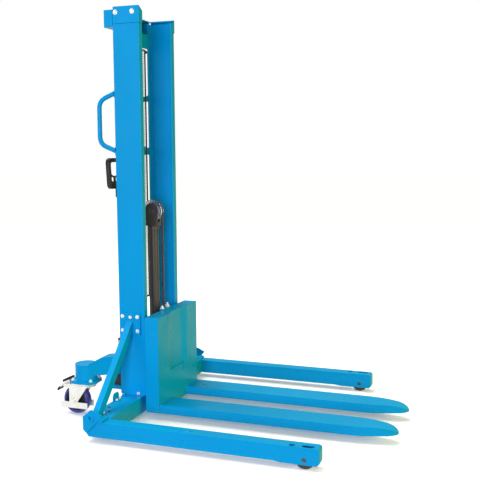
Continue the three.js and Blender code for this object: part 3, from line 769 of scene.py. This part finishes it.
SWIVEL_FROM_FRONT = 50 * MM  # from the front of the caster's housing back to its swivel axis
FLANGE_THICKNESS = 15.3 * MM  # with the running gap under it
FLANGE_BOLT_X = 51 * MM
FLANGE_BOLT_Y = 44 * MM
FLANGE_BOLT = 17 * MM
FLANGE_BOLT_END = in_mm([(3.6, 0), (3.6, 4), (2.8, 5)])
FLANGE_BOLT_HEAD = Vector((0, 0, 8 * MM))
AXLE_NUT = 22 * MM
CHEEK_Y = 35 * MM  # from the caster's middle to the outside of its cheeks
SWIVEL_RACE = in_mm([(56, 0), (58, -2), (58, -9), (52, -13)])
SWIVEL_RACE_FROM_TOP = 1 * MM


def caster_bolts():
    """Flange bolts of the necks, and axle nuts and swivel races of the casters."""
    for side in SIDES:
        fork_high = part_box("caster_fork_" + side)[1]
        axle = middle_of("caster_axle_" + side)
        swivel_x = fork_high.x - SWIVEL_FROM_FRONT
        bolts = bmesh.new()
        for dx in (-FLANGE_BOLT_X, FLANGE_BOLT_X):
            for dy in (-FLANGE_BOLT_Y, FLANGE_BOLT_Y):
                place = Vector((swivel_x + dx, axle.y + dy, fork_high.z + FLANGE_THICKNESS))
                add_hex_bolt(bolts, place, UP, FLANGE_BOLT)
                add_lathe(bolts, FLANGE_BOLT_END, place + FLANGE_BOLT_HEAD, UP, sides=12)
        finished_piece("flange_bolts_" + side, bolts, "zinc", "chassis")

        nuts = bmesh.new()
        for way in (-1, 1):
            add_hex_bolt(nuts, (axle.x, axle.y + way * CHEEK_Y, axle.z), (0, way, 0), AXLE_NUT)
        race = (swivel_x, axle.y, fork_high.z - SWIVEL_RACE_FROM_TOP)
        add_lathe(nuts, SWIVEL_RACE, race, UP, sides=40)
        finished_piece("caster_nuts_" + side, nuts, "zinc", "caster_" + side)


PEDAL_PAD = in_mm([(71, 62), (71, 72), (67, 73), (34, 59), (31, 54), (34, 46)])
PEDAL_TIP = in_mm([(-1, -2), (5, -2), (18, 14), (15, 24), (-1, 10)])
PEDAL_RUBBER_WIDTH = 58 * MM
PEDAL_RUBBER_ROUNDING = 1.5 * MM


def pedal_pads():
    """Rubber pad and tip of each brake pedal, as (x, z) outlines from its rear lower edge."""
    for side in SIDES:
        low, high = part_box("brake_pedal_" + side)
        turn = Matrix.Translation((low.x, (low.y + high.y) / 2, low.z)) @ IN_XZ
        rubber = bmesh.new()
        for outline in (PEDAL_PAD, PEDAL_TIP):
            add_prism(rubber, outline, -PEDAL_RUBBER_WIDTH / 2, PEDAL_RUBBER_WIDTH, turn)
        piece = finished_piece("pedal_rubber_" + side, rubber, "black_plastic", "pedal_" + side)
        round_edges(piece, PEDAL_RUBBER_ROUNDING)


SEAM_GAP = 1 * MM  # from an edge to the middle line of the bead along it
BEAM_EDGE_FREE = 4 * MM  # how far beads stop short of the crossbeam's edges
STRAP_WELD_RADIUS = 2.2 * MM
PLATE_WELD_RADIUS = 2.6 * MM
PLATE_WELD_START = 38 * MM
PLATE_WELD_END = 100 * MM
PLATE_WELD_FROM_TOP = 32 * MM
FORK_WELD_INSET = 3 * MM


def mast_foot_welds(side, sign, beads):
    """Beads where a mast upright stands on the crossbeam."""
    beam_low, beam_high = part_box("base_crossbeam")
    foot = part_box("mast_upright_" + side)[0].z
    outer = outer_y("mast_upright_" + side, sign)
    inner = inner_y("mast_upright_" + side, sign)
    front = beam_high.x - SEAM_GAP
    add_weld(beads, (beam_low.x, outer, foot), (beam_high.x, outer, foot))
    add_weld(beads, (front, outer, foot), (front, inner, foot))


def leg_welds(side, sign, beads):
    """Beads where a straddle leg meets the crossbeam, in front and on top."""
    beam_low, beam_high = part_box("base_crossbeam")
    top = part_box("straddle_leg_" + side)[1].z
    y = inner_y("straddle_leg_" + side, sign)
    above = top + SEAM_GAP
    add_weld(beads, (beam_high.x, y, beam_low.z + BEAM_EDGE_FREE), (beam_high.x, y, top))
    add_weld(beads, (beam_low.x + BEAM_EDGE_FREE, y, above), (beam_high.x, y, above))


def strap_welds(side, sign, beads):
    """Beads along the upper and lower edge of both straps, at their ends on the upright."""
    inner = inner_y("mast_upright_" + side, sign)
    for strap in ("mast_strap_upper", "mast_strap_lower"):
        low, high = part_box(strap)
        for z in (low.z, high.z):
            add_weld(beads, (high.x, inner, z), (high.x, sign * high.y, z), STRAP_WELD_RADIUS)


def strut_plate_weld(side, sign, beads):
    """The bead over the head of a strut, on its plate."""
    low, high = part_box("strut_plate_" + side)
    y = outer_y("strut_plate_" + side, sign)
    z = high.z - PLATE_WELD_FROM_TOP
    start = (low.x + PLATE_WELD_START, y, z)
    add_weld(beads, start, (low.x + PLATE_WELD_END, y, z), PLATE_WELD_RADIUS)


def fork_welds(side):
    """Beads round the heel of a fork on the carriage's front."""
    low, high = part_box("fork_" + side)
    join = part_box("carriage_frame")[1].x
    beads = bmesh.new()
    add_weld(beads, (join, low.y + FORK_WELD_INSET, high.z), (join, high.y - FORK_WELD_INSET, high.z))
    for y in (low.y, high.y):
        add_weld(beads, (join, y, low.z + FORK_WELD_INSET), (join, y, high.z - FORK_WELD_INSET))
    finished_piece("fork_welds_" + side, beads, "blue_paint", "carriage")


def frame_welds():
    """Weld beads where the frame's plates and tubes meet, on both sides."""
    for side, sign in SIDES.items():
        beads = bmesh.new()
        mast_foot_welds(side, sign, beads)
        leg_welds(side, sign, beads)
        strap_welds(side, sign, beads)
        strut_plate_weld(side, sign, beads)
        finished_piece("frame_welds_" + side, beads, "blue_paint", "chassis")
        fork_welds(side)


SHEET = 5 * MM
SHEET_ROUNDING = 1 * MM
BRACKET_SETBACK = 3 * MM  # from the crossbeam's rear edge
BRACKET_FOOT = in_mm([(3, -77.5), (25, -77.5), (29, -82.5), (29, -132.5), (25, -137.5), (3, -137.5)])
BRACKET_FLANGE = in_mm([(-77.5, 0), (-137.5, 0), (-137.5, 24), (-126.5, 38), (-88.5, 38), (-77.5, 24)])
BRACKET_BOLT = 13 * MM
BRACKET_BOLT_X = 18 * MM
BRACKET_BOLTS_Y = (-92.5 * MM, -122.5 * MM)
STOP_LUG = in_mm([(-24.5, 0), (-42.5, 0), (-40.5, 9), (-33.5, 13), (-26.5, 9)])
STOP_LUG_LENGTH = 16 * MM


def base_bracket():
    """A small bolted angle bracket and a stop lug on the crossbeam, outside the right upright."""
    beam_low, beam_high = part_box("base_crossbeam")
    mast_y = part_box("mast_upright_right")[0].y
    flat = Matrix.Translation((beam_low.x, mast_y, beam_high.z))
    upright = Matrix.Translation((beam_low.x + BRACKET_SETBACK, mast_y, beam_high.z)) @ IN_YZ
    sheet = bmesh.new()
    add_prism(sheet, BRACKET_FOOT, 0, SHEET, flat)
    add_prism(sheet, BRACKET_FLANGE, 0, SHEET, upright)
    add_prism(sheet, STOP_LUG, 0, STOP_LUG_LENGTH, upright)
    round_edges(finished_piece("base_bracket", sheet, "blue_paint", "chassis"), SHEET_ROUNDING)
    bolts = bmesh.new()
    for y in BRACKET_BOLTS_Y:
        place = (beam_low.x + BRACKET_BOLT_X, mast_y + y, beam_high.z + SHEET)
        add_hex_bolt(bolts, place, UP, BRACKET_BOLT)
    finished_piece("base_bracket_bolts", bolts, "zinc", "chassis")


COLLAR_INSET = 5 * MM  # from the ends of the handle's box, on top of the tube's radius


def handle_feet():
    """Welded collars where each push handle meets its straps."""
    for side in SIDES:
        low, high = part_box("push_handle_" + side)
        y = (low.y + high.y) / 2
        radius = (high.y - low.y) / 2
        collar = [(radius + 3 * MM, 0), (radius + 2 * MM, 2.5 * MM), (radius * 0.6, 4 * MM)]
        collars = bmesh.new()
        for z in (high.z - radius - COLLAR_INSET, low.z + radius + COLLAR_INSET):
            add_lathe(collars, collar, (high.x, y, z), (-1, 0, 0), sides=20)
        finished_piece("handle_collars_" + side, collars, "blue_paint", "chassis")


# ------------------------------------------------------------------ lifting gear and pump details

KEEPER = in_mm([(10, -46), (42, -46), (42, 50), (10, 50), (10, 12), (23, 12), (23, -12), (10, -12)])
KEEPER_NUT = 20 * MM
KEEPER_NUT_X = 20 * MM
KEEPER_NUTS = in_mm([(-30, 6), (34, 12)])  # y of each nut and how far its stud stands out
STUD_FOOT = 13 * MM


def carriage_chain_nuts():
    """The chain keeper on the carriage's top edge with its two adjusting nuts."""
    low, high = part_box("carriage_frame")
    keeper = bmesh.new()
    add_prism(keeper, KEEPER, 0, SHEET, Matrix.Translation((low.x, 0, high.z)))
    round_edges(finished_piece("chain_keeper", keeper, "blue_paint", "carriage"), SHEET_ROUNDING)
    nuts = bmesh.new()
    nut_x = low.x + KEEPER_NUT_X
    for y, tall in KEEPER_NUTS:
        add_hex_bolt(nuts, (nut_x, y, high.z + SHEET), UP, KEEPER_NUT)
        stud = [(5 * MM, 0), (5 * MM, tall), (4 * MM, tall + 1 * MM)]
        add_lathe(nuts, stud, (nut_x, y, high.z + STUD_FOOT), UP, sides=14)
    finished_piece("keeper_nuts", nuts, "zinc", "carriage")


PIN_WASHER = in_mm([(14, 0), (15, 0.6), (15, 2.4), (13, 3)])
PIN_WASHER_INSET = 7 * MM


def crosshead_details():
    """Washers on the ends of the sheave pin."""
    pin = middle_of("sheave_pin")
    end_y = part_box("sheave_pin")[1].y
    washers = bmesh.new()
    for way in (-1, 1):
        place = (pin.x, way * (end_y - PIN_WASHER_INSET), pin.z)
        add_lathe(washers, PIN_WASHER, place, (0, way, 0), sides=24)
    finished_piece("crosshead_washers", washers, "chain_steel", "lift_rod")


SPRING_TURNS = 5
SPRING_STEPS = 16  # points in a turn
SPRING_RADIUS = 13.2 * MM
SPRING_WIRE = 1.5 * MM
SPRING_END_GAP = 1.6 * MM
BOSS_FROM_TOP = 70 * MM
PLUNGER_HEAD = 7 * MM


def pump_spring():
    """The return spring round the plunger, shortened by its stroke."""
    x = middle_of("pump_plunger").x
    boss_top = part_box("pump_body")[1].z - BOSS_FROM_TOP
    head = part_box("pump_plunger")[1].z - PLUNGER_HEAD
    length = head - boss_top
    steps = SPRING_TURNS * SPRING_STEPS
    points = []
    for i in range(steps + 1):
        angle = 2 * math.pi * i / SPRING_STEPS
        z = boss_top + SPRING_END_GAP + (length - 2 * SPRING_END_GAP) * i / steps
        points.append((x + SPRING_RADIUS * math.cos(angle), SPRING_RADIUS * math.sin(angle), z))
    spring = bmesh.new()
    add_tube(spring, points, SPRING_WIRE, sides=6)
    coil = finished_piece("pump_spring", spring, "bare_steel", "chassis")
    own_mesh(coil)


UNION_NUT = in_mm([(9.5, 0), (9.5, 9), (8, 10)])
UNION_SLEEVE = in_mm([(7.6, 9), (7.6, 15), (6.6, 16)])
PIPE_RADIUS = 6 * MM
FILLER_CAP = in_mm([(16, 0), (17, 1), (17, 7), (12, 9), (6, 13)])
FILLER_FROM_FRONT = 26 * MM
FILLER_FROM_TOP = 55 * MM
VALVE_SCREWS = (  # y, distance below the pump's top, size
    (-18 * MM, 195 * MM, 18 * MM),
    (18 * MM, 155 * MM, 14 * MM),
)


def pump_fittings():
    """Pipe unions, valve screws and filler cap of the hand pump."""
    low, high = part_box("pump_body")
    pipe_low, pipe_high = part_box("oil_pipe")
    pipe_y = middle_of("oil_pipe").y
    fittings = bmesh.new()
    for place, way in (
        ((pipe_low.x, pipe_y, pipe_high.z - PIPE_RADIUS), 1),
        ((pipe_high.x, pipe_y, pipe_low.z + PIPE_RADIUS), -1),
    ):
        add_lathe(fittings, UNION_NUT, place, (way, 0, 0), sides=6)
        add_lathe(fittings, UNION_SLEEVE, place, (way, 0, 0), sides=18)
    for y, from_top, size in VALVE_SCREWS:
        add_hex_bolt(fittings, (low.x, y, high.z - from_top), (-1, 0, 0), size)
    finished_piece("pump_fittings", fittings, "zinc", "chassis")
    cap = bmesh.new()
    add_lathe(cap, FILLER_CAP, (high.x - FILLER_FROM_FRONT, 0, high.z - FILLER_FROM_TOP), UP, sides=12)
    finished_piece("pump_filler_cap", cap, "black_plastic", "chassis")


GRIP_SCREW = in_mm([(4, -1), (4, 1.2), (2.4, 2)])
GRIP_SCREW_X = 19 * MM  # behind the front of the grip's socket
GRIP_SCREW_HEIGHTS = (12 * MM, 30 * MM)
GRIP_SOCKET_RADIUS = 18.6 * MM


def grip_screws():
    """Screws in the socket that holds the grip on the tiller's tube."""
    low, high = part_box("tiller_grip")
    screws = bmesh.new()
    for height in GRIP_SCREW_HEIGHTS:
        place = (high.x - GRIP_SCREW_X, -GRIP_SOCKET_RADIUS, low.z + height)
        add_lathe(screws, GRIP_SCREW, place, (0, -1, 0), sides=14)
    finished_piece("grip_screws", screws, "zinc", "tiller")


# ------------------------------------------------------------------ floor and assembly

FLOOR_RADIUS = 40


def add_floor():
    """A wide round floor that bounces no light onto the stacker."""
    mesh = bmesh.new()
    bmesh.ops.create_circle(mesh, cap_ends=True, radius=FLOOR_RADIUS, segments=64)
    data = bpy.data.meshes.new("floor")
    mesh.to_mesh(data)
    mesh.free()
    floor = bpy.data.objects.new("floor", data)
    floor.data.materials.append(studio_floor())
    floor.visible_diffuse = False
    bpy.context.scene.collection.objects.link(floor)


bpy.context.scene.view_settings.view_transform = "Standard"
add_camera()
add_lights()
add_world()
add_floor()
dress_cad_nodes()
lift_chain()
guard_mesh()
plate_bolts()
caster_bolts()
pedal_pads()
frame_welds()
base_bracket()
handle_feet()
carriage_chain_nuts()
crosshead_details()
pump_spring()
pump_fittings()
grip_screws()
